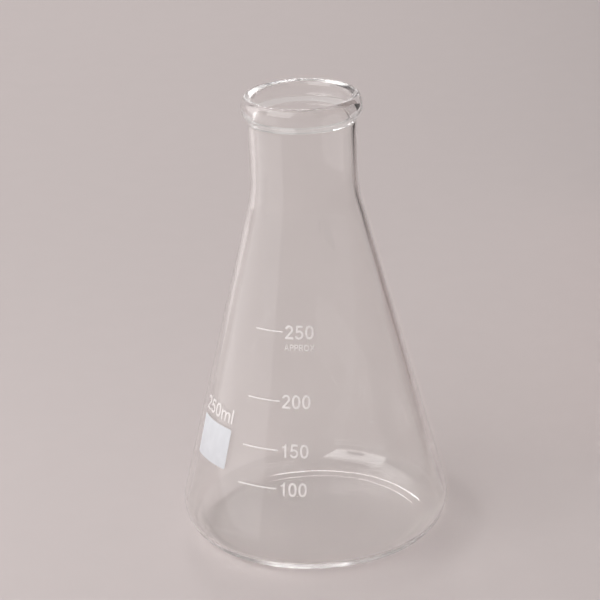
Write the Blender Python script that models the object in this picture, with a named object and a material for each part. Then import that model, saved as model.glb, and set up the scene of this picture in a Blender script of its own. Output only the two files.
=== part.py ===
"""A conical flask of clear borosilicate glass with a white fired-enamel scale.

Units are metres and +Z is up. The flask stands on the plane z = 0 with its axis
on the Z axis. The front is -Y, and angles round the glass are counted from the
front, positive towards +X.
"""
import math

import bmesh
import bpy
from mathutils import Vector

# Glass vessel
FLASK_HEIGHT = 0.145  # resting plane to the top of the lip
BODY_DIAMETER = 0.085  # outside, at the widest part of the heel
NECK_DIAMETER = 0.0336  # outside of the straight neck
NECK_LENGTH = 0.0223  # foot of the bead to where the neck's line meets the cone's
WALL = 0.0017  # glass of the neck and the cone
BASE_THICKNESS = 0.0022  # glass of the base
HEEL_RADIUS = 0.0110  # outside rounding between cone and base
INNER_HEEL_RADIUS = 0.0080  # the same corner inside, where the glass is a little thicker
SHOULDER_RADIUS = 0.038  # outside hollow between neck and cone
REST_RING_WIDTH = 0.007  # flat ring that the flask stands on
PUSH_UP = 0.0008  # rise of the base inside that ring
BEAD_HEIGHT = 0.0088  # top of the lip to the foot of the bead
BEAD_OVERHANG = 0.0020  # how far the bead stands out from the neck
BEAD_DROP = 0.0045  # top of the lip to the widest part of the bead
LIP_INSET = 0.0018  # crest of the lip inside the widest part of the bead
LIP_DEPTH = 0.0025  # rounding of the lip into the bore

# White enamel on the outside of the glass
FILM_THICKNESS = 0.0002
FILM_GAP = 0.0003  # clearance between the enamel and the glass
SCALE_ANGLE = math.radians(-18.6)  # end of the graduation lines, next to the numbers
LINE_ANGLE = math.radians(20.0)  # how far round the glass a graduation line runs
LINE_WIDTH = 0.00042
LABEL_GAP = 0.0008  # end of a line to its number
NUMBER_WIDTH = 0.0089
NUMBER_HEIGHT = 0.0043
HEIGHT_250 = 0.0767  # graduation lines above the resting plane
HEIGHT_200 = 0.0558
HEIGHT_150 = 0.0409
HEIGHT_100 = 0.0292
NOTE_GAP = 0.0016  # top number to the note under it
NOTE_WIDTH = 0.0094
NOTE_HEIGHT = 0.0020
PATCH_CLEARANCE = 0.0060  # graduation lines to the marking patch
PATCH_WIDTH = 0.0175
PATCH_HEIGHT = 0.0130
PATCH_CORNER = 0.0006  # rounding of the patch's corners
PATCH_MIDDLE = 0.0375  # middle of the patch above the resting plane
CAPACITY_GAP = 0.0018  # marking patch to the capacity above it
CAPACITY_WIDTH = 0.0168
CAPACITY_HEIGHT = 0.0045

# Fineness of the facets
TURN_STEPS = 64  # round the glass, a multiple of 4
ARC_STEPS = 7  # along a rounding of the glass
BASE_STEPS = 3  # across the raised middle of the base
LETTER_STEPS = 4  # along a quarter turn of a letter
FILM_STEP = 0.0014  # longest straight stretch of a line or patch round the glass
CORNER_STEPS = 3  # round a corner of the patch
MERGE_SIZE = 0.000002  # points nearer than this are one point
SHARP_EDGE = math.radians(35)  # edges sharper than this stay sharp where the rest is shaded smooth

# Lettering, in shares of the letters' height
STROKE = 0.15  # width of a pen stroke
LETTER_SPACE = 0.14  # between two letters
DIGIT_WIDTH = 0.64
OVAL_POWER = 0.85  # below 1 a round letter is a little squarer than an ellipse

GRADUATIONS = (
    ("250", HEIGHT_250),
    ("200", HEIGHT_200),
    ("150", HEIGHT_150),
    ("100", HEIGHT_100),
)
NOTE_TEXT = "APPROX"
CAPACITY_TEXT = "250ml"

# Outside of the vessel, worked out from the sizes above
BODY_RADIUS = BODY_DIAMETER / 2
NECK_RADIUS = NECK_DIAMETER / 2
BORE_RADIUS = NECK_RADIUS - WALL
BEAD_FOOT = FLASK_HEIGHT - BEAD_HEIGHT
CONE_TOP = BEAD_FOOT - NECK_LENGTH
HEEL_CENTRE = Vector((BODY_RADIUS - HEEL_RADIUS, HEEL_RADIUS))
CROSSING = Vector((NECK_RADIUS, CONE_TOP))
REACH = CROSSING - HEEL_CENTRE
CONE_LEAN = math.atan2(-REACH.x, REACH.y) + math.asin(HEEL_RADIUS / REACH.length)
CONE_NORMAL = Vector((math.cos(CONE_LEAN), math.sin(CONE_LEAN)))
HEEL_TOP = HEEL_CENTRE + CONE_NORMAL * HEEL_RADIUS
SHOULDER_CENTRE = CROSSING + Vector((SHOULDER_RADIUS, SHOULDER_RADIUS * math.tan(CONE_LEAN / 2)))
SHOULDER_FOOT = SHOULDER_CENTRE - CONE_NORMAL * SHOULDER_RADIUS


def clear_scene():
    """Remove every object of the scene that the script starts in."""
    for thing in list(bpy.data.objects):
        bpy.data.objects.remove(thing, do_unlink=True)


def arc(centre, radii, start, end, steps=ARC_STEPS):
    """Points of an elliptic arc; the angles are counted from +radius towards +Z."""
    points = []
    for step in range(steps + 1):
        angle = start + (end - start) * step / steps
        points.append(centre + Vector((radii[0] * math.cos(angle), radii[1] * math.sin(angle))))
    return points


def base_profile(lift):
    """Points of the raised base from the axis to the flat ring, lifted off the resting plane."""
    middle = HEEL_CENTRE.x - REST_RING_WIDTH
    points = []
    for step in range(BASE_STEPS + 1):
        share = step / BASE_STEPS
        points.append(Vector((middle * share, lift + PUSH_UP * (1 - share**2) ** 2)))
    return points


def inner_profile():
    """Inside of the vessel from the middle of the floor up to the bore."""
    radius = INNER_HEEL_RADIUS
    height = BASE_THICKNESS + radius
    wall_line = CONE_NORMAL.dot(HEEL_TOP) - WALL - radius
    heel = Vector(((wall_line - CONE_NORMAL.y * height) / CONE_NORMAL.x, height))
    shoulder = SHOULDER_RADIUS + WALL
    points = base_profile(BASE_THICKNESS)
    points += arc(heel, (radius, radius), -math.pi / 2, CONE_LEAN)
    points += arc(SHOULDER_CENTRE, (shoulder, shoulder), math.pi + CONE_LEAN, math.pi)
    return points


def lip_profile():
    """The bead: out of the bore, over the lip and down to the outside of the neck."""
    widest = NECK_RADIUS + BEAD_OVERHANG
    crest = widest - LIP_INSET
    inside = arc(
        Vector((crest, FLASK_HEIGHT - LIP_DEPTH)), (crest - BORE_RADIUS, LIP_DEPTH), math.pi, math.pi / 2
    )
    top = arc(Vector((crest, FLASK_HEIGHT - BEAD_DROP)), (LIP_INSET, BEAD_DROP), math.pi / 2, 0)
    under = []
    for step in range(ARC_STEPS + 1):
        share = step / ARC_STEPS
        swell = (1 + math.cos(math.pi * share)) / 2
        drop = BEAD_DROP + (BEAD_HEIGHT - BEAD_DROP) * share
        under.append(Vector((NECK_RADIUS + BEAD_OVERHANG * swell, FLASK_HEIGHT - drop)))
    return inside + top[1:] + under[1:]


def outer_profile():
    """Outside of the vessel from the neck down to the middle of the base."""
    points = arc(SHOULDER_CENTRE, (SHOULDER_RADIUS, SHOULDER_RADIUS), math.pi, math.pi + CONE_LEAN)
    points += arc(HEEL_CENTRE, (HEEL_RADIUS, HEEL_RADIUS), CONE_LEAN, -math.pi / 2)
    return points + base_profile(0)[::-1]


def outside_at(height):
    """Radius of the outside of the glass at a height, and the tilt of its normal above level."""
    if height >= SHOULDER_CENTRE.y:
        return NECK_RADIUS, 0.0
    if height >= SHOULDER_FOOT.y:
        tilt = math.asin((SHOULDER_CENTRE.y - height) / SHOULDER_RADIUS)
        return SHOULDER_CENTRE.x - SHOULDER_RADIUS * math.cos(tilt), tilt
    if height >= HEEL_TOP.y:
        return HEEL_TOP.x - (height - HEEL_TOP.y) * math.tan(CONE_LEAN), CONE_LEAN
    tilt = math.asin((height - HEEL_CENTRE.y) / HEEL_RADIUS)
    return HEEL_CENTRE.x + HEEL_RADIUS * math.cos(tilt), tilt


def on_glass(angle, middle, across, along, lift):
    """Place a point of the flat print on the glass.

    The print's middle lies at an angle and a height; across runs round the
    glass, along runs up its wall, and lift is the distance off its surface.
    """
    height = middle + along * math.cos(CONE_LEAN)
    radius, tilt = outside_at(height)
    turn = angle + across / radius
    reach = radius + lift * math.cos(tilt)
    return Vector((reach * math.sin(turn), -reach * math.cos(turn), height + lift * math.sin(tilt)))


def make_material(name, colour, roughness, transmission=0.0):
    """A plain surface with its colour, polish and clearness."""
    material = bpy.data.materials.new(name)
    material.use_nodes = True
    shader = material.node_tree.nodes["Principled BSDF"]
    shader.inputs["Base Color"].default_value = (*colour, 1.0)
    shader.inputs["Roughness"].default_value = roughness
    shader.inputs["Metallic"].default_value = 0.0
    shader.inputs["Transmission Weight"].default_value = transmission
    return material


def add_object(name, solid, material, parent):
    """Turn a bmesh into a named object with outward faces, smooth where it is round."""
    bmesh.ops.recalc_face_normals(solid, faces=solid.faces)
    mesh = bpy.data.meshes.new(name)
    solid.to_mesh(mesh)
    solid.free()
    mesh.materials.append(material)
    mesh.shade_smooth()
    mesh.set_sharp_from_angle(angle=SHARP_EDGE)
    thing = bpy.data.objects.new(name, mesh)
    bpy.context.collection.objects.link(thing)
    thing.parent = parent
    return thing


def add_glass_body(material, parent):
    """The vessel: one closed profile turned round the Z axis."""
    outline = inner_profile() + lip_profile() + outer_profile()
    solid = bmesh.new()
    corners = [solid.verts.new((point.x, 0, point.y)) for point in outline]
    edges = [solid.edges.new(pair) for pair in zip(corners, corners[1:])]
    bmesh.ops.spin(
        solid,
        geom=corners + edges,
        cent=(0, 0, 0),
        axis=(0, 0, 1),
        angle=math.tau,
        steps=TURN_STEPS,
        use_merge=True,
    )
    bmesh.ops.remove_doubles(solid, verts=solid.verts, dist=MERGE_SIZE)
    return add_object("glass_body", solid, material, parent)


def add_film(name, flat, angle, middle, material, parent):
    """Wrap a flat mesh round the glass and give it the thickness of the enamel."""
    print_points = {corner: corner.co.copy() for corner in flat.verts}
    skin = bmesh.ops.extrude_face_region(flat, geom=flat.faces[:])
    for corner in skin["geom"]:
        if isinstance(corner, bmesh.types.BMVert):
            corner.co = on_glass(angle, middle, corner.co.x, corner.co.y, FILM_GAP + FILM_THICKNESS)
    for corner, point in print_points.items():
        corner.co = on_glass(angle, middle, point.x, point.y, FILM_GAP)
    return add_object(name, flat, material, parent)


def bow(centre, radius, start, end):
    """Points of a round stretch of a letter; the angles are degrees from +X towards +Y."""
    steps = max(2, round(abs(end - start) / 90 * LETTER_STEPS))
    return arc(Vector(centre), (radius, radius), math.radians(start), math.radians(end), steps)


def oval(width, inset):
    """A closed round outline inside a letter's box, a little squarer than an ellipse."""
    points = []
    for step in range(4 * LETTER_STEPS):
        angle = math.tau * step / (4 * LETTER_STEPS)
        across = math.copysign(abs(math.cos(angle)) ** OVAL_POWER, math.cos(angle))
        along = math.copysign(abs(math.sin(angle)) ** OVAL_POWER, math.sin(angle))
        points.append((width / 2 + (width / 2 - inset) * across, 0.5 + (0.5 - inset) * along))
    return points


def letter_outlines(letter):
    """Width and closed outlines of a letter that is one unit high; an inner outline is a hole."""
    if letter == "0":
        return DIGIT_WIDTH, [oval(DIGIT_WIDTH, 0), oval(DIGIT_WIDTH, STROKE)]
    if letter == "1":
        right = DIGIT_WIDTH - 0.14
        stem = [(right - STROKE, 0), (right, 0), (right, 1), (right - 0.09, 1)]
        flag = [(right - 0.14, 0.88), (right - 0.21, 0.82), (right - 0.33, 0.80), (right - 0.33, 0.71)]
        return DIGIT_WIDTH, [stem + flag + [(right - STROKE, 0.71)]]
    if letter == "2":
        radius = DIGIT_WIDTH / 2 - 0.01
        middle = (DIGIT_WIDTH / 2, 1 - radius)
        foot = [(0.215, STROKE), (DIGIT_WIDTH, STROKE), (DIGIT_WIDTH, 0), (0, 0), (0, 0.10)]
        return DIGIT_WIDTH, [bow(middle, radius, 170, -38) + foot + bow(middle, radius - STROKE, -38, 170)]
    if letter == "5":
        radius = DIGIT_WIDTH / 2 + 0.01
        middle = (DIGIT_WIDTH - radius - 0.005, radius)
        right = DIGIT_WIDTH - 0.05
        bar = [(0.045, 0.455), (0.12, 1), (right, 1), (right, 1 - STROKE), (0.225, 1 - STROKE)]
        bowl = bow(middle, radius, 110, -162) + bow(middle, radius - STROKE, -162, 128)
        return DIGIT_WIDTH, [bar + bowl]
    if letter == "A":
        left_leg = [(0.245, 0.28), (0.145, 0), (0, 0), (0.385, 1)]
        right_leg = [(0.535, 1), (0.92, 0), (0.775, 0), (0.675, 0.28)]
        return 0.92, [left_leg + right_leg, [(0.285, 0.40), (0.46, 0.86), (0.635, 0.40)]]
    if letter in "PR":
        radius = 0.285
        inner = radius - STROKE
        middle = (0.44, 1 - radius)
        stem = [(STROKE, 0), (0, 0), (0, 1)]
        waist = 1 - 2 * radius
        hole = [(STROKE, 1 - STROKE), (STROKE, waist + STROKE)] + bow(middle, inner, -90, 90)
        if letter == "P":
            return 0.725, [stem + bow(middle, radius, 90, -90) + [(STROKE, waist)], hole]
        leg = [(0.78, 0), (0.63, 0), (0.40, waist), (STROKE, waist)]
        return 0.78, [stem + bow(middle, radius, 90, -62) + leg, hole]
    if letter == "O":
        return 0.98, [oval(0.98, 0), oval(0.98, STROKE)]
    if letter == "X":
        lower = [(0, 0), (0.16, 0), (0.43, 0.39), (0.70, 0), (0.86, 0), (0.515, 0.51)]
        upper = [(0.84, 1), (0.68, 1), (0.43, 0.63), (0.18, 1), (0.02, 1), (0.345, 0.51)]
        return 0.86, [lower + upper]
    if letter == "m":
        width = 1.0
        slot = (width - 3 * STROKE) / 4
        second = STROKE + 2 * slot
        third = width - STROKE
        left_stem = [(STROKE, 0), (0, 0), (0, 0.72), (STROKE - 0.01, 0.72), (STROKE + 0.01, 0.63)]
        tops = bow((0.33, 0.50), 0.235, 125, 40) + bow((width - 0.235, 0.50), 0.235, 130, 0)
        right_slot = [(width, 0), (third, 0)] + bow((third - slot, 0.46), slot, 0, 180)
        left_slot = [(second + STROKE, 0), (second, 0)] + bow((second - slot, 0.46), slot, 0, 165)
        return width, [left_stem + tops + right_slot + left_slot]
    return STROKE, [[(0, 0), (STROKE, 0), (STROKE, 1), (0, 1)]]


def letter_mesh(outlines, place, grow):
    """A flat filled mesh of a letter, moved to its place in the text and grown to its size."""
    flat = bmesh.new()
    for outline in outlines:
        corners = [flat.verts.new(((x + place.x) * grow.x, (y + place.y) * grow.y, 0)) for x, y in outline]
        for pair in zip(corners, corners[1:] + corners[:1]):
            flat.edges.new(pair)
    bmesh.ops.triangle_fill(flat, edges=flat.edges, use_beauty=True)
    return flat


def add_text(name, text, size, angle, middle, material, parent):
    """A line of print fitted to a width and height: each letter is a deposit of its own."""
    shapes = [letter_outlines(letter) for letter in text]
    length = sum(width for width, _ in shapes) + LETTER_SPACE * (len(shapes) - 1)
    grow = Vector((size[0] / length, size[1]))
    start = -length / 2
    for count, (width, outlines) in enumerate(shapes, start=1):
        letter = letter_mesh(outlines, Vector((start, -0.5)), grow)
        add_film(f"{name}_{count}", letter, angle, middle, material, parent)
        start += width + LETTER_SPACE


def add_line(name, length, angle, middle, material, parent):
    """A graduation line round the glass."""
    pieces = math.ceil(length / FILM_STEP)
    flat = bmesh.new()
    bmesh.ops.create_grid(flat, x_segments=pieces, y_segments=1, size=0.5)
    for corner in flat.verts:
        corner.co.x *= length
        corner.co.y *= LINE_WIDTH
    add_film(name, flat, angle, middle, material, parent)


def add_patch(angle, material, parent):
    """The field to write on: a plain white rectangle with slightly round corners."""
    pieces = math.ceil(PATCH_WIDTH / FILM_STEP)
    flat = bmesh.new()
    bmesh.ops.create_grid(flat, x_segments=pieces, y_segments=1, size=0.5)
    for corner in flat.verts:
        corner.co.x *= PATCH_WIDTH
        corner.co.y *= PATCH_HEIGHT
    corners = [corner for corner in flat.verts if len(corner.link_edges) == 2]
    bmesh.ops.bevel(
        flat, geom=corners, offset=PATCH_CORNER, segments=CORNER_STEPS, profile=0.5, affect="VERTICES"
    )
    add_film("marking_patch", flat, angle, PATCH_MIDDLE, material, parent)


def build():
    """Build the glass and everything printed on it."""
    clear_scene()
    root = bpy.data.objects.new("conical_flask", None)
    bpy.context.collection.objects.link(root)
    glass = make_material("clear_glass", (0.93, 0.92, 0.91), 0.02, transmission=1.0)
    enamel = make_material("white_enamel", (0.82, 0.79, 0.78), 0.45)
    field = make_material("patch_enamel", (0.78, 0.78, 0.81), 0.55)
    add_glass_body(glass, root)

    for text, height in GRADUATIONS:
        radius, _ = outside_at(height)
        line_middle = SCALE_ANGLE - LINE_ANGLE / 2
        number_middle = SCALE_ANGLE + (LABEL_GAP + NUMBER_WIDTH / 2) / radius
        add_line(f"line_{text}", LINE_ANGLE * radius, line_middle, height, enamel, root)
        add_text(f"digit_{text}", text, (NUMBER_WIDTH, NUMBER_HEIGHT), number_middle, height, enamel, root)

    note_drop = NUMBER_HEIGHT / 2 + NOTE_GAP + NOTE_HEIGHT / 2
    note_height = HEIGHT_250 - note_drop * math.cos(CONE_LEAN)
    radius, _ = outside_at(HEIGHT_250)
    note_middle = SCALE_ANGLE + (LABEL_GAP + NUMBER_WIDTH / 2) / radius
    add_text("note_letter", NOTE_TEXT, (NOTE_WIDTH, NOTE_HEIGHT), note_middle, note_height, enamel, root)

    radius, _ = outside_at(PATCH_MIDDLE)
    patch_angle = SCALE_ANGLE - LINE_ANGLE - (PATCH_CLEARANCE + PATCH_WIDTH / 2) / radius
    add_patch(patch_angle, field, root)
    capacity_rise = PATCH_HEIGHT / 2 + CAPACITY_GAP + CAPACITY_HEIGHT / 2
    capacity_height = PATCH_MIDDLE + capacity_rise * math.cos(CONE_LEAN)
    capacity_size = (CAPACITY_WIDTH, CAPACITY_HEIGHT)
    add_text("capacity_letter", CAPACITY_TEXT, capacity_size, patch_angle, capacity_height, enamel, root)


build()
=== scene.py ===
"""Looks of the conical flask: smooth clear glass, fired enamel print and a small studio.

Units are metres. The flask stands on z = 0 with its axis on the Z axis, its front
towards -Y. Angles round the glass are counted from the front, positive towards +X.
"""
import math

import bmesh
import bpy
from mathutils import Matrix, Quaternion, Vector


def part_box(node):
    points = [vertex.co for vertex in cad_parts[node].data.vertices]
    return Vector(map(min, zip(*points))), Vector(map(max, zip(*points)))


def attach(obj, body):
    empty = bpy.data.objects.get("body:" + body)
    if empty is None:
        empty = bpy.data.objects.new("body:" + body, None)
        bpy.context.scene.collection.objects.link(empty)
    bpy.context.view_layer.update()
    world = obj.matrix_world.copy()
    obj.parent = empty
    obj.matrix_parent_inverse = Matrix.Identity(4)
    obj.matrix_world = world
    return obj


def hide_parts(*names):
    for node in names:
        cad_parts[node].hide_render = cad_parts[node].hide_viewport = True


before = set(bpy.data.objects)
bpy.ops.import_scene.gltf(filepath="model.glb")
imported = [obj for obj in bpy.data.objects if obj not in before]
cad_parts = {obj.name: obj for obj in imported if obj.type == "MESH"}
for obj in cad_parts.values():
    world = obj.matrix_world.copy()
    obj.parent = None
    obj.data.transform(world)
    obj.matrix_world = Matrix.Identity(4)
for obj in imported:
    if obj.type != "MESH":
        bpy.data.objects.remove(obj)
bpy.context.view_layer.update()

# Glass vessel, from the frame
GLASS_LOW, GLASS_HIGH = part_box("glass_body")
FLASK_HEIGHT = GLASS_HIGH.z - GLASS_LOW.z
BODY_RADIUS = (GLASS_HIGH.x - GLASS_LOW.x) / 2

# Glass vessel, sizes that its box doesn't show
NECK_RADIUS = 0.0168  # outside of the straight neck
NECK_LENGTH = 0.0223  # foot of the bead to where the neck's line meets the cone's
WALL = 0.0017  # glass of the neck and the cone
BASE_THICKNESS = 0.0022  # glass of the base
HEEL_RADIUS = 0.0110  # outside rounding between cone and base
INNER_HEEL_RADIUS = 0.0080  # the same corner inside, where the glass is a little thicker
SHOULDER_RADIUS = 0.038  # outside hollow between neck and cone
REST_RING_WIDTH = 0.007  # flat ring that the flask stands on
PUSH_UP = 0.0008  # rise of the base inside that ring
BEAD_HEIGHT = 0.0088  # top of the lip to the foot of the bead
BEAD_OVERHANG = 0.0020  # how far the bead stands out from the neck
BEAD_DROP = 0.0045  # top of the lip to the widest part of the bead
LIP_INSET = 0.0018  # crest of the lip inside the widest part of the bead
LIP_DEPTH = 0.0025  # rounding of the lip into the bore
BORE_RADIUS = NECK_RADIUS - WALL

# Print on the outside of the glass
PRINT_RISE = 0.00004  # face of the enamel above the glass
PRINT_ROOT = 0.00002  # how deep the enamel is fused into the glass
PRINT_EDGE = 0.000015  # rounding of the enamel's edge
PRINT_SLICE = 0.0006  # widest flat stretch of print round the glass
CUT_TOLERANCE = 0.0000001  # corners this near a cut through the print lie on it
RIM_TURN = 1.0  # in radians: an edge where the print's face turns further is its rim
SHARP_TURN = math.radians(50)  # an edge of the print that turns further is shaded sharp
SCALE_ANGLE = math.radians(-18.6)  # end of the graduation lines, next to the numbers
LINE_ANGLE = math.radians(20.0)  # how far round the glass a graduation line runs
LINE_WIDTH = 0.00042
LABEL_GAP = 0.0008  # end of a line to its number
NUMBER_WIDTH = 0.0089
NUMBER_HEIGHT = 0.0043
GRADUATIONS = (("250", 0.0767), ("200", 0.0558), ("150", 0.0409), ("100", 0.0292))
NOTE_TEXT = "APPROX"
NOTE_GAP = 0.0016  # top number to the note under it
NOTE_WIDTH = 0.0094
NOTE_HEIGHT = 0.0020
PATCH_CLEARANCE = 0.0060  # graduation lines to the marking patch
PATCH_WIDTH = 0.0175
PATCH_HEIGHT = 0.0130
PATCH_CORNER = 0.0006  # rounding of the patch's corners
PATCH_MIDDLE = 0.0375  # middle of the patch above the resting plane
CAPACITY_TEXT = "250ml"
CAPACITY_GAP = 0.0018  # marking patch to the capacity above it
CAPACITY_WIDTH = 0.0168
CAPACITY_HEIGHT = 0.0045

# Lettering, in shares of the letters' height
STROKE = 0.15  # width of a pen stroke
LETTER_SPACE = 0.14  # between two letters
DIGIT_WIDTH = 0.64
OVAL_POWER = 0.85  # of a round letter: 1 is an ellipse, less is squarer

# Fineness of the surface
TURN_STEPS = 192  # round the glass
ARC_STEPS = 24  # along a rounding of the glass
STRAIGHT_STEP = 0.003  # longest stretch of a straight wall
BASE_STEPS = 12  # across the raised middle of the base
LETTER_STEPS = 12  # along a quarter turn of a letter
POLE_SIZE = 0.000002  # points this near the axis are one point

# Camera, fitted to the photograph
CAMERA_PLACE = Vector((0, -0.76983, 0.372385))
CAMERA_YAW = math.radians(-0.203)
CAMERA_PITCH = math.radians(20.964)
CAMERA_ROLL = math.radians(-2.157)
CAMERA_LENS = 156.92  # millimetres
CAMERA_SENSOR = 36  # millimetres

# Studio: sheet and room
PAPER_GAP = 0.00005  # keeps the sheet's face off the glass that stands on it
PAPER_COLOUR = (0.566, 0.51, 0.503)
PAPER_MOTTLE = 0.015  # share by which the paper's tone wanders
SHEET_FLAT = 1.4  # radius of the flat part of the sheet
SHEET_SWEEP = 0.5  # radius of the sweep upwards round it
SWEEP_STEPS = 12  # along that sweep
SHEET_STEPS = 96  # round the sheet
WALL_LIGHT = (0.592, 0.543, 0.534)  # the room's pale walls, low round the studio
CEILING_LIGHT = (0.49, 0.47, 0.463)
WALL_TOP = 0.18  # where walls begin to pass into ceiling, as the sine of the elevation
CEILING_FOOT = 0.36  # where they have passed into it
LIGHT_BOUNCES = 256  # how often light may meet the glass

# Studio: cards that the glass mirrors, with their middle, their width and height and what they face
BOARD_COLOURS = {
    "black_board": (0.01, 0.01, 0.01),
    "brown_board": (0.33, 0.287, 0.278),
    "white_board": (0.74, 0.68, 0.67),
}
CARDS = (
    ("right_flag", "black_board", (0.215, 0.34, 0.05), (0.14, 0.1), (0, 0.34, 0.05)),
    ("back_flag", "black_board", (0.26, 0.65, 0.08), (0.6, 0.16), (0, 0.65, 0.08)),
    ("side_flag", "black_board", (0.42, -0.17, 0.4), (0.85, 0.42), (0, 0, 0.4)),
    ("low_card", "brown_board", (0.13, 0.17, 0.03), (0.26, 0.06), (0, 0.186, 0.03)),
    ("left_card", "white_board", (-0.42, 0.26, 0.002), (0.5, 0.38), (-0.42, 0.26, 1)),
)
LYING_CARD = "left_card"  # shows to cameras too, or the paper under it would show as black

# Studio: softboxes round the flask, with azimuth and elevation in degrees, width and height, and brightness
SOFTBOX_DISTANCE = 2.4
SOFTBOX_AIM = (0, 0, 0.05)
SOFTBOXES = (
    ("key_softbox", -45, 34, (2.2, 1.75), 3.25),
    ("left_softbox", -98, 44, (1.8, 1.1), 1.6),
    ("back_softbox", -155, 46, (1.2, 0.9), 0.55),
)

# Studio: a panel close by on the left, which the wall of the glass shows as a pale band
PANEL_PLACE = (-0.27, -0.051, 0.08)
PANEL_AIM = (0, -0.051, 0.08)
PANEL_SIZE = (0.402, 0.16)
PANEL_BRIGHTNESS = 0.5

# Studio: a leaning strip behind, which the base and the heel show as thin bright arcs
STRIP_AZIMUTH = -177
STRIP_ELEVATION = 41
STRIP_DISTANCE = 2.0
STRIP_AIM = (0, 0, 0.03)
STRIP_SIZE = (0.12, 0.8)
STRIP_BRIGHTNESS = 14.0
STRIP_LEAN = 34

# Outside of the vessel, worked out from the sizes above
BEAD_FOOT = FLASK_HEIGHT - BEAD_HEIGHT
CONE_TOP = BEAD_FOOT - NECK_LENGTH
HEEL_CENTRE = Vector((BODY_RADIUS - HEEL_RADIUS, HEEL_RADIUS))
CROSSING = Vector((NECK_RADIUS, CONE_TOP))
REACH = CROSSING - HEEL_CENTRE
CONE_LEAN = math.atan2(-REACH.x, REACH.y) + math.asin(HEEL_RADIUS / REACH.length)
CONE_NORMAL = Vector((math.cos(CONE_LEAN), math.sin(CONE_LEAN)))
HEEL_TOP = HEEL_CENTRE + CONE_NORMAL * HEEL_RADIUS
SHOULDER_CENTRE = CROSSING + Vector((SHOULDER_RADIUS, SHOULDER_RADIUS * math.tan(CONE_LEAN / 2)))


class Value:
    """A number that changes over a surface; arithmetic on it adds Math nodes."""

    def __init__(self, finish, socket):
        self.finish = finish
        self.socket = socket

    def math(self, operation, *terms):
        sockets = dict(enumerate(terms))
        return self.finish.add("ShaderNodeMath", {"operation": operation}, sockets)

    def __add__(self, other):
        return self.math("ADD", self, other)

    def __radd__(self, other):
        return self.math("ADD", other, self)

    def __mul__(self, other):
        return self.math("MULTIPLY", self, other)


class Finish:
    """A material, or the room's light, that is being put together round its shader."""

    def __init__(self, owner, shader="Principled BSDF"):
        owner.use_nodes = True
        self.tree = owner.node_tree
        self.shader = self.tree.nodes[shader]

    def add(self, kind, settings=None, sockets=None, output=0):
        """Add a node: its settings first, then the values or links of its sockets."""
        node = self.tree.nodes.new(kind)
        for name, value in (settings or {}).items():
            setattr(node, name, value)
        for name, value in (sockets or {}).items():
            self.feed(node.inputs[name], value)
        return Value(self, node.outputs[output])

    def feed(self, socket, value):
        """Set a socket, or link it where the value is another node's."""
        if isinstance(value, Value):
            self.tree.links.new(value.socket, socket)
        else:
            socket.default_value = value

    def surface(self, **sockets):
        """Feed the shader's sockets; an underscore in a name stands for a space."""
        for name, value in sockets.items():
            self.feed(self.shader.inputs[name.replace("_", " ")], value)

    def place(self):
        """Where a point lies on the object, in metres."""
        return self.add("ShaderNodeTexCoord", output="Object")

    def noise(self, size, detail, stretch=(1, 1, 1)):
        """Soft noise from 0 to 1 whose features are about a size across."""
        scaled = self.add(
            "ShaderNodeVectorMath",
            {"operation": "MULTIPLY"},
            {0: self.place(), 1: [1 / (size * part) for part in stretch]},
        )
        sockets = {"Vector": scaled, "Scale": 1.0, "Detail": detail, "Roughness": 0.5}
        return self.add("ShaderNodeTexNoise", {"noise_dimensions": "3D"}, sockets)

    def ramp(self, value, low, high):
        """Rise smoothly from 0 to 1 while a value goes from low to high."""
        settings = {"interpolation_type": "SMOOTHSTEP"}
        sockets = {"Value": value, "From Min": low, "From Max": high}
        return self.add("ShaderNodeMapRange", settings, sockets)

    def blend(self, share, first, second):
        """Mix two colours."""
        sockets = {"Factor": share, 6: (*first, 1.0), 7: (*second, 1.0)}
        return self.add("ShaderNodeMix", {"data_type": "RGBA"}, sockets, output=2)

    def bump(self, height, distance):
        """A normal for a relief whose height of 1 stands a distance proud."""
        sockets = {"Height": height, "Distance": distance, "Strength": 1.0}
        return self.add("ShaderNodeBump", None, sockets)


def clear_glass():
    """Fire-polished borosilicate glass: faint waves from blowing, and a little bench haze."""
    material = bpy.data.materials.new("clear_glass")
    glass = Finish(material)
    waves = glass.noise(0.016, detail=1.0, stretch=(1, 1, 2.2))
    ripples = glass.noise(0.0045, detail=1.0)
    haze = glass.ramp(glass.noise(0.010, detail=4.0), 0.55, 0.80)
    glass.surface(
        Base_Color=glass.blend(haze, (0.985, 0.983, 0.978), (0.965, 0.962, 0.957)),
        Roughness=0.006 + haze * 0.022,
        Normal=glass.bump(waves + ripples * 0.08, 0.00003),
        Transmission_Weight=1.0,
        IOR=1.474,
    )
    return material


def scale_enamel():
    """White print: a slightly uneven deposit with a satin glaze."""
    material = bpy.data.materials.new("scale_enamel")
    enamel = Finish(material)
    cover = enamel.noise(0.0009, detail=3.0)
    grain = enamel.noise(0.00016, detail=2.0)
    enamel.surface(
        Base_Color=enamel.blend(enamel.ramp(cover, 0.3, 0.7), (0.67, 0.635, 0.627), (0.74, 0.707, 0.698)),
        Roughness=0.36 + cover * 0.2,
        Normal=enamel.bump(grain * 0.5 + cover, 0.000012),
        Coat_Weight=0.15,
    )
    return material


def patch_enamel():
    """The field to write on: a matt, faintly bluish white with a fine tooth."""
    material = bpy.data.materials.new("patch_enamel")
    field = Finish(material)
    cover = field.noise(0.0035, detail=3.0)
    tooth = field.noise(0.00012, detail=2.0)
    field.surface(
        Base_Color=field.blend(field.ramp(cover, 0.3, 0.7), (0.553, 0.563, 0.59), (0.588, 0.598, 0.627)),
        Roughness=0.58 + tooth * 0.16,
        Normal=field.bump(tooth + cover * 0.6, 0.000012),
    )
    return material


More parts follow.
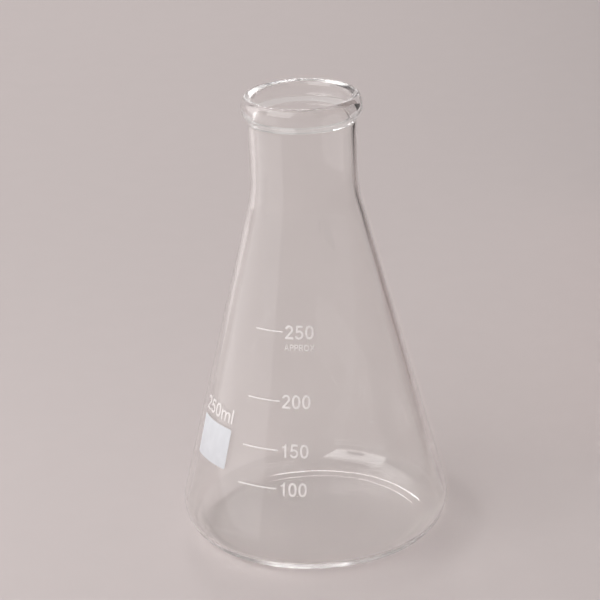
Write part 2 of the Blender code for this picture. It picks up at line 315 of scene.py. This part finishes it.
def studio_paper():
    """The pale warm grey sheet that the flask stands on."""
    material = bpy.data.materials.new("studio_paper")
    paper = Finish(material)
    mottle = paper.noise(0.012, detail=4.0)
    low = [part * (1 - PAPER_MOTTLE) for part in PAPER_COLOUR]
    high = [part * (1 + PAPER_MOTTLE) for part in PAPER_COLOUR]
    paper.surface(Base_Color=paper.blend(mottle, low, high), Roughness=0.85, Specular_IOR_Level=0.1)
    return material


def studio_board(name, colour):
    """Matt board of the cards round the flask, black, brown or white."""
    material = bpy.data.materials.new(name)
    board = Finish(material)
    board.surface(Base_Color=(*colour, 1.0), Roughness=1.0, Specular_IOR_Level=0.0)
    return material


def arc(centre, radii, start, end, steps=ARC_STEPS):
    """Points of an elliptic arc; the angles are counted from +radius towards +Z."""
    points = []
    for step in range(steps + 1):
        angle = start + (end - start) * step / steps
        points.append(centre + Vector((radii[0] * math.cos(angle), radii[1] * math.sin(angle))))
    return points


def base_profile(lift):
    """Points of the raised base from the axis to the flat ring, lifted off the resting plane."""
    middle = HEEL_CENTRE.x - REST_RING_WIDTH
    points = []
    for step in range(BASE_STEPS + 1):
        share = step / BASE_STEPS
        points.append(Vector((middle * share, lift + PUSH_UP * (1 - share**2) ** 2)))
    return points


def inner_profile():
    """Inside of the vessel from the middle of the floor up to the bore."""
    radius = INNER_HEEL_RADIUS
    height = BASE_THICKNESS + radius
    wall_line = CONE_NORMAL.dot(HEEL_TOP) - WALL - radius
    heel = Vector(((wall_line - CONE_NORMAL.y * height) / CONE_NORMAL.x, height))
    shoulder = SHOULDER_RADIUS + WALL
    points = base_profile(BASE_THICKNESS)
    points += arc(heel, (radius, radius), -math.pi / 2, CONE_LEAN)
    points += arc(SHOULDER_CENTRE, (shoulder, shoulder), math.pi + CONE_LEAN, math.pi)
    return points


def lip_profile():
    """The bead: out of the bore, over the lip and down to the outside of the neck."""
    widest = NECK_RADIUS + BEAD_OVERHANG
    crest = widest - LIP_INSET
    inside = arc(
        Vector((crest, FLASK_HEIGHT - LIP_DEPTH)), (crest - BORE_RADIUS, LIP_DEPTH), math.pi, math.pi / 2
    )
    top = arc(Vector((crest, FLASK_HEIGHT - BEAD_DROP)), (LIP_INSET, BEAD_DROP), math.pi / 2, 0)
    under = []
    for step in range(ARC_STEPS + 1):
        share = step / ARC_STEPS
        swell = (1 + math.cos(math.pi * share)) / 2
        drop = BEAD_DROP + (BEAD_HEIGHT - BEAD_DROP) * share
        under.append(Vector((NECK_RADIUS + BEAD_OVERHANG * swell, FLASK_HEIGHT - drop)))
    return inside + top[1:] + under[1:]


def outer_profile():
    """Outside of the vessel from the neck down to the middle of the base."""
    points = arc(SHOULDER_CENTRE, (SHOULDER_RADIUS, SHOULDER_RADIUS), math.pi, math.pi + CONE_LEAN)
    points += arc(HEEL_CENTRE, (HEEL_RADIUS, HEEL_RADIUS), CONE_LEAN, -math.pi / 2)
    return points + base_profile(0)[::-1]


def on_cone(angle, middle, across, along, lift):
    """Place a point of the flat print on the cone.

    The print's middle lies at an angle and a height; across runs round the
    glass, along runs up its wall, and lift is the distance off its surface.
    """
    height = middle + along * math.cos(CONE_LEAN)
    radius = cone_radius(height)
    turn = angle + across / radius
    reach = radius + lift * math.cos(CONE_LEAN)
    return Vector((reach * math.sin(turn), -reach * math.cos(turn), height + lift * math.sin(CONE_LEAN)))


def cone_radius(height):
    """Outside radius of the cone at a height."""
    return HEEL_TOP.x - (height - HEEL_TOP.y) * math.tan(CONE_LEAN)


def add_piece(name, shape, material):
    """Turn a bmesh into a smooth object of that name."""
    mesh = bpy.data.meshes.new(name)
    shape.to_mesh(mesh)
    shape.free()
    mesh.materials.append(material)
    mesh.shade_smooth()
    piece = bpy.data.objects.new(name, mesh)
    bpy.context.collection.objects.link(piece)
    return piece


def dress(piece, node):
    """Let a piece stand for its CAD node and move with the flask."""
    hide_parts(node)
    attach(piece, "root")


def turn_glass(material):
    """The vessel: one closed profile turned round the Z axis."""
    shape = bmesh.new()
    outline = inner_profile() + lip_profile() + outer_profile()
    corners = [shape.verts.new((point.x, 0, point.y)) for point in outline]
    for pair in zip(corners, corners[1:]):
        shape.edges.new(pair)
    for edge in list(shape.edges):
        cuts = math.floor(edge.calc_length() / STRAIGHT_STEP)
        if cuts:
            bmesh.ops.subdivide_edges(shape, edges=[edge], cuts=cuts)
    bmesh.ops.spin(
        shape,
        geom=shape.verts[:] + shape.edges[:],
        cent=(0, 0, 0),
        axis=(0, 0, 1),
        angle=math.tau,
        steps=TURN_STEPS,
        use_merge=True,
    )
    poles = [corner for corner in shape.verts if corner.co.xy.length < POLE_SIZE]
    bmesh.ops.remove_doubles(shape, verts=poles, dist=POLE_SIZE)
    bmesh.ops.recalc_face_normals(shape, faces=shape.faces)
    dress(add_piece("flask_glass", shape, material), "glass_body")


def print_film(node, flat, angle, middle, material):
    """Give flat print its thickness and a soft edge, and wrap it round the cone."""
    width = max(corner.co.x for corner in flat.verts)
    cut = min(corner.co.x for corner in flat.verts) + PRINT_SLICE
    while cut < width:
        geometry = flat.verts[:] + flat.edges[:] + flat.faces[:]
        bmesh.ops.bisect_plane(
            flat,
            geom=geometry,
            dist=CUT_TOLERANCE,
            plane_co=(cut, 0, 0),
            plane_no=(1, 0, 0),
        )
        cut += PRINT_SLICE
    skin = bmesh.ops.extrude_face_region(flat, geom=flat.faces[:])
    face = [part for part in skin["geom"] if isinstance(part, bmesh.types.BMVert)]
    bmesh.ops.translate(flat, verts=face, vec=(0, 0, PRINT_RISE + PRINT_ROOT))
    bmesh.ops.recalc_face_normals(flat, faces=flat.faces)
    rim = [
        edge
        for edge in flat.edges
        if edge.verts[0] in face and edge.verts[1] in face and edge.calc_face_angle(0) > RIM_TURN
    ]
    bmesh.ops.bevel(
        flat,
        geom=rim,
        offset=PRINT_EDGE,
        affect="EDGES",
        segments=2,
        profile=0.5,
        material=-1,
        clamp_overlap=True,
    )
    for corner in flat.verts:
        corner.co = on_cone(angle, middle, corner.co.x, corner.co.y, corner.co.z - PRINT_ROOT)
    film = add_piece("print_" + node, flat, material)
    film.data.set_sharp_from_angle(angle=SHARP_TURN)
    dress(film, node)


def bow(centre, radius, start, end):
    """Points of a round stretch of a letter; the angles are degrees from +X towards +Y."""
    steps = max(2, round(abs(end - start) / 90 * LETTER_STEPS))
    return arc(Vector(centre), (radius, radius), math.radians(start), math.radians(end), steps)


def oval(width, inset):
    """A closed round outline inside a letter's box, a little squarer than an ellipse."""
    points = []
    for step in range(4 * LETTER_STEPS):
        angle = math.tau * step / (4 * LETTER_STEPS)
        across = math.copysign(abs(math.cos(angle)) ** OVAL_POWER, math.cos(angle))
        along = math.copysign(abs(math.sin(angle)) ** OVAL_POWER, math.sin(angle))
        points.append((width / 2 + (width / 2 - inset) * across, 0.5 + (0.5 - inset) * along))
    return points


def letter_outlines(letter):
    """Width and closed outlines of a letter that is one unit high; an inner outline is a hole."""
    if letter == "0":
        return DIGIT_WIDTH, [oval(DIGIT_WIDTH, 0), oval(DIGIT_WIDTH, STROKE)]
    if letter == "1":
        right = DIGIT_WIDTH - 0.14
        stem = [(right - STROKE, 0), (right, 0), (right, 1), (right - 0.09, 1)]
        flag = [(right - 0.14, 0.88), (right - 0.21, 0.82), (right - 0.33, 0.80), (right - 0.33, 0.71)]
        return DIGIT_WIDTH, [stem + flag + [(right - STROKE, 0.71)]]
    if letter == "2":
        radius = DIGIT_WIDTH / 2 - 0.01
        middle = (DIGIT_WIDTH / 2, 1 - radius)
        foot = [(0.215, STROKE), (DIGIT_WIDTH, STROKE), (DIGIT_WIDTH, 0), (0, 0), (0, 0.10)]
        return DIGIT_WIDTH, [bow(middle, radius, 170, -38) + foot + bow(middle, radius - STROKE, -38, 170)]
    if letter == "5":
        radius = DIGIT_WIDTH / 2 + 0.01
        middle = (DIGIT_WIDTH - radius - 0.005, radius)
        right = DIGIT_WIDTH - 0.05
        bar = [(0.045, 0.455), (0.12, 1), (right, 1), (right, 1 - STROKE), (0.225, 1 - STROKE)]
        bowl = bow(middle, radius, 110, -162) + bow(middle, radius - STROKE, -162, 128)
        return DIGIT_WIDTH, [bar + bowl]
    if letter == "A":
        left_leg = [(0.245, 0.28), (0.145, 0), (0, 0), (0.385, 1)]
        right_leg = [(0.535, 1), (0.92, 0), (0.775, 0), (0.675, 0.28)]
        return 0.92, [left_leg + right_leg, [(0.285, 0.40), (0.46, 0.86), (0.635, 0.40)]]
    if letter in "PR":
        radius = 0.285
        inner = radius - STROKE
        middle = (0.44, 1 - radius)
        stem = [(STROKE, 0), (0, 0), (0, 1)]
        waist = 1 - 2 * radius
        hole = [(STROKE, 1 - STROKE), (STROKE, waist + STROKE)] + bow(middle, inner, -90, 90)
        if letter == "P":
            return 0.725, [stem + bow(middle, radius, 90, -90) + [(STROKE, waist)], hole]
        leg = [(0.78, 0), (0.63, 0), (0.40, waist), (STROKE, waist)]
        return 0.78, [stem + bow(middle, radius, 90, -62) + leg, hole]
    if letter == "O":
        return 0.98, [oval(0.98, 0), oval(0.98, STROKE)]
    if letter == "X":
        lower = [(0, 0), (0.16, 0), (0.43, 0.39), (0.70, 0), (0.86, 0), (0.515, 0.51)]
        upper = [(0.84, 1), (0.68, 1), (0.43, 0.63), (0.18, 1), (0.02, 1), (0.345, 0.51)]
        return 0.86, [lower + upper]
    if letter == "m":
        width = 1.0
        slot = (width - 3 * STROKE) / 4
        second = STROKE + 2 * slot
        third = width - STROKE
        left_stem = [(STROKE, 0), (0, 0), (0, 0.72), (STROKE - 0.01, 0.72), (STROKE + 0.01, 0.63)]
        tops = bow((0.33, 0.50), 0.235, 125, 40) + bow((width - 0.235, 0.50), 0.235, 130, 0)
        right_slot = [(width, 0), (third, 0)] + bow((third - slot, 0.46), slot, 0, 180)
        left_slot = [(second + STROKE, 0), (second, 0)] + bow((second - slot, 0.46), slot, 0, 165)
        return width, [left_stem + tops + right_slot + left_slot]
    return STROKE, [[(0, 0), (STROKE, 0), (STROKE, 1), (0, 1)]]


def letter_shape(outlines, place, grow):
    """A flat filled letter, moved to its place in the text and grown to its size."""
    flat = bmesh.new()
    for outline in outlines:
        corners = [flat.verts.new(((x + place.x) * grow.x, (y + place.y) * grow.y, 0)) for x, y in outline]
        for pair in zip(corners, corners[1:] + corners[:1]):
            flat.edges.new(pair)
    bmesh.ops.triangle_fill(flat, edges=flat.edges, use_beauty=True)
    return flat


def print_text(name, text, size, angle, middle, material):
    """A line of print fitted to a width and height: each letter is a deposit of its own."""
    shapes = [letter_outlines(letter) for letter in text]
    length = sum(width for width, _ in shapes) + LETTER_SPACE * (len(shapes) - 1)
    grow = Vector((size[0] / length, size[1]))
    start = -length / 2
    for count, (width, outlines) in enumerate(shapes, start=1):
        letter = letter_shape(outlines, Vector((start, -0.5)), grow)
        print_film(f"{name}_{count}", letter, angle, middle, material)
        start += width + LETTER_SPACE


def flat_strip(length, width):
    """A flat rectangle, for print or a card."""
    flat = bmesh.new()
    bmesh.ops.create_grid(flat, x_segments=1, y_segments=1, size=0.5)
    bmesh.ops.scale(flat, vec=(length, width, 1), verts=flat.verts)
    return flat


def print_scale(enamel):
    """Graduation lines with their numbers, and the note under the top number."""
    for text, height in GRADUATIONS:
        radius = cone_radius(height)
        line = flat_strip(LINE_ANGLE * radius, LINE_WIDTH)
        print_film(f"line_{text}", line, SCALE_ANGLE - LINE_ANGLE / 2, height, enamel)
        number_middle = SCALE_ANGLE + (LABEL_GAP + NUMBER_WIDTH / 2) / radius
        print_text(f"digit_{text}", text, (NUMBER_WIDTH, NUMBER_HEIGHT), number_middle, height, enamel)
    top_height = GRADUATIONS[0][1]
    note_drop = NUMBER_HEIGHT / 2 + NOTE_GAP + NOTE_HEIGHT / 2
    note_height = top_height - note_drop * math.cos(CONE_LEAN)
    note_middle = SCALE_ANGLE + (LABEL_GAP + NUMBER_WIDTH / 2) / cone_radius(top_height)
    print_text("note_letter", NOTE_TEXT, (NOTE_WIDTH, NOTE_HEIGHT), note_middle, note_height, enamel)


def print_patch(enamel, field):
    """The field to write on, and the capacity above it."""
    turn = (PATCH_CLEARANCE + PATCH_WIDTH / 2) / cone_radius(PATCH_MIDDLE)
    angle = SCALE_ANGLE - LINE_ANGLE - turn
    patch = flat_strip(PATCH_WIDTH, PATCH_HEIGHT)
    bmesh.ops.bevel(
        patch,
        geom=patch.verts[:],
        offset=PATCH_CORNER,
        affect="VERTICES",
        segments=5,
        profile=0.5,
        material=-1,
    )
    print_film("marking_patch", patch, angle, PATCH_MIDDLE, field)
    rise = PATCH_HEIGHT / 2 + CAPACITY_GAP + CAPACITY_HEIGHT / 2
    height = PATCH_MIDDLE + rise * math.cos(CONE_LEAN)
    print_text("capacity_letter", CAPACITY_TEXT, (CAPACITY_WIDTH, CAPACITY_HEIGHT), angle, height, enamel)


def lay_paper():
    """The sheet under the flask: flat, then swept up a little far away."""
    sheet = bmesh.new()
    profile = [Vector((0, -PAPER_GAP))]
    centre = Vector((SHEET_FLAT, SHEET_SWEEP - PAPER_GAP))
    profile += arc(centre, (SHEET_SWEEP, SHEET_SWEEP), -math.pi / 2, -math.pi / 4, SWEEP_STEPS)
    corners = [sheet.verts.new((point.x, 0, point.y)) for point in profile]
    edges = [sheet.edges.new(pair) for pair in zip(corners, corners[1:])]
    bmesh.ops.spin(
        sheet,
        geom=corners + edges,
        cent=(0, 0, 0),
        axis=(0, 0, 1),
        angle=math.tau,
        steps=SHEET_STEPS,
        use_merge=True,
    )
    poles = [corner for corner in sheet.verts if corner.co.xy.length < POLE_SIZE]
    bmesh.ops.remove_doubles(sheet, verts=poles, dist=POLE_SIZE)
    bmesh.ops.recalc_face_normals(sheet, faces=sheet.faces)
    paper = add_piece("studio_sheet", sheet, studio_paper())


def hang_card(name, board, place, size, aim):
    """A card that faces its aim: the glass sees it, and a camera only where it lies on the paper."""
    card = flat_strip(*size)
    turn = (Vector(aim) - Vector(place)).to_track_quat("Z", "Y").to_matrix().to_4x4()
    bmesh.ops.transform(card, matrix=Matrix.Translation(place) @ turn, verts=card.verts)
    flag = add_piece(name, card, board)
    flag.visible_camera = name == LYING_CARD


def round_flask(azimuth, elevation, distance):
    """A place round the flask; the azimuth is counted from the front towards +X, both in degrees."""
    turn = math.radians(azimuth)
    rise = math.radians(elevation)
    level = distance * math.cos(rise)
    return Vector((level * math.sin(turn), -level * math.cos(turn), distance * math.sin(rise)))


def hang_softbox(name, place, aim, size, brightness, lean=0):
    """A soft lamp whose face has that brightness; lean turns it in its own plane, in degrees."""
    lamp = bpy.data.lights.new(name, "AREA")
    lamp.shape = "RECTANGLE"
    lamp.size, lamp.size_y = size
    lamp.energy = math.pi * size[0] * size[1] * brightness
    box = bpy.data.objects.new(name, lamp)
    box.location = place
    turn = (Vector(place) - Vector(aim)).to_track_quat("Z", "Y")
    box.rotation_euler = (turn @ Quaternion((0, 0, 1), math.radians(lean))).to_euler()
    box.visible_camera = False
    bpy.context.collection.objects.link(box)


def set_room():
    """The room round the studio: pale walls under a dim ceiling."""
    world = bpy.data.worlds.new("studio_room")
    room = Finish(world, "Background")
    height = room.add("ShaderNodeSeparateXYZ", None, {0: room.place()}, output="Z")
    room.surface(Color=room.blend(room.ramp(height, WALL_TOP, CEILING_FOOT), WALL_LIGHT, CEILING_LIGHT))
    bpy.context.scene.world = world


def set_camera():
    """The photograph's view."""
    ahead = Vector((
        math.sin(CAMERA_YAW) * math.cos(CAMERA_PITCH),
        math.cos(CAMERA_YAW) * math.cos(CAMERA_PITCH),
        -math.sin(CAMERA_PITCH),
    ))
    level = ahead.cross(Vector((0, 0, 1))).normalized()
    upright = level.cross(ahead)
    right = level * math.cos(CAMERA_ROLL) + upright * math.sin(CAMERA_ROLL)
    up = upright * math.cos(CAMERA_ROLL) - level * math.sin(CAMERA_ROLL)
    lens = bpy.data.cameras.new("photo_view")
    lens.lens = CAMERA_LENS
    lens.sensor_width = CAMERA_SENSOR
    camera = bpy.data.objects.new("photo_view", lens)
    axes = Matrix((right, up, -ahead)).transposed().to_4x4()
    camera.matrix_world = Matrix.Translation(CAMERA_PLACE) @ axes
    bpy.context.collection.objects.link(camera)
    bpy.context.scene.camera = camera


def set_render():
    """Plain colours, and light paths long enough to cross the glass many times."""
    scene = bpy.context.scene
    scene.view_settings.view_transform = "Standard"
    scene.cycles.max_bounces = LIGHT_BOUNCES
    scene.cycles.transmission_bounces = LIGHT_BOUNCES
    scene.cycles.glossy_bounces = LIGHT_BOUNCES
    scene.cycles.sample_clamp_indirect = 0
    scene.cycles.blur_glossy = 0


turn_glass(clear_glass())
white = scale_enamel()
print_scale(white)
print_patch(white, patch_enamel())
lay_paper()
boards = {name: studio_board(name, colour) for name, colour in BOARD_COLOURS.items()}
for name, board, place, size, aim in CARDS:
    hang_card(name, boards[board], place, size, aim)
for name, azimuth, elevation, size, brightness in SOFTBOXES:
    hang_softbox(name, round_flask(azimuth, elevation, SOFTBOX_DISTANCE), SOFTBOX_AIM, size, brightness)
hang_softbox("left_panel", PANEL_PLACE, PANEL_AIM, PANEL_SIZE, PANEL_BRIGHTNESS)
strip_place = round_flask(STRIP_AZIMUTH, STRIP_ELEVATION, STRIP_DISTANCE)
hang_softbox("back_strip", strip_place, STRIP_AIM, STRIP_SIZE, STRIP_BRIGHTNESS, STRIP_LEAN)
set_room()
set_camera()
set_render()
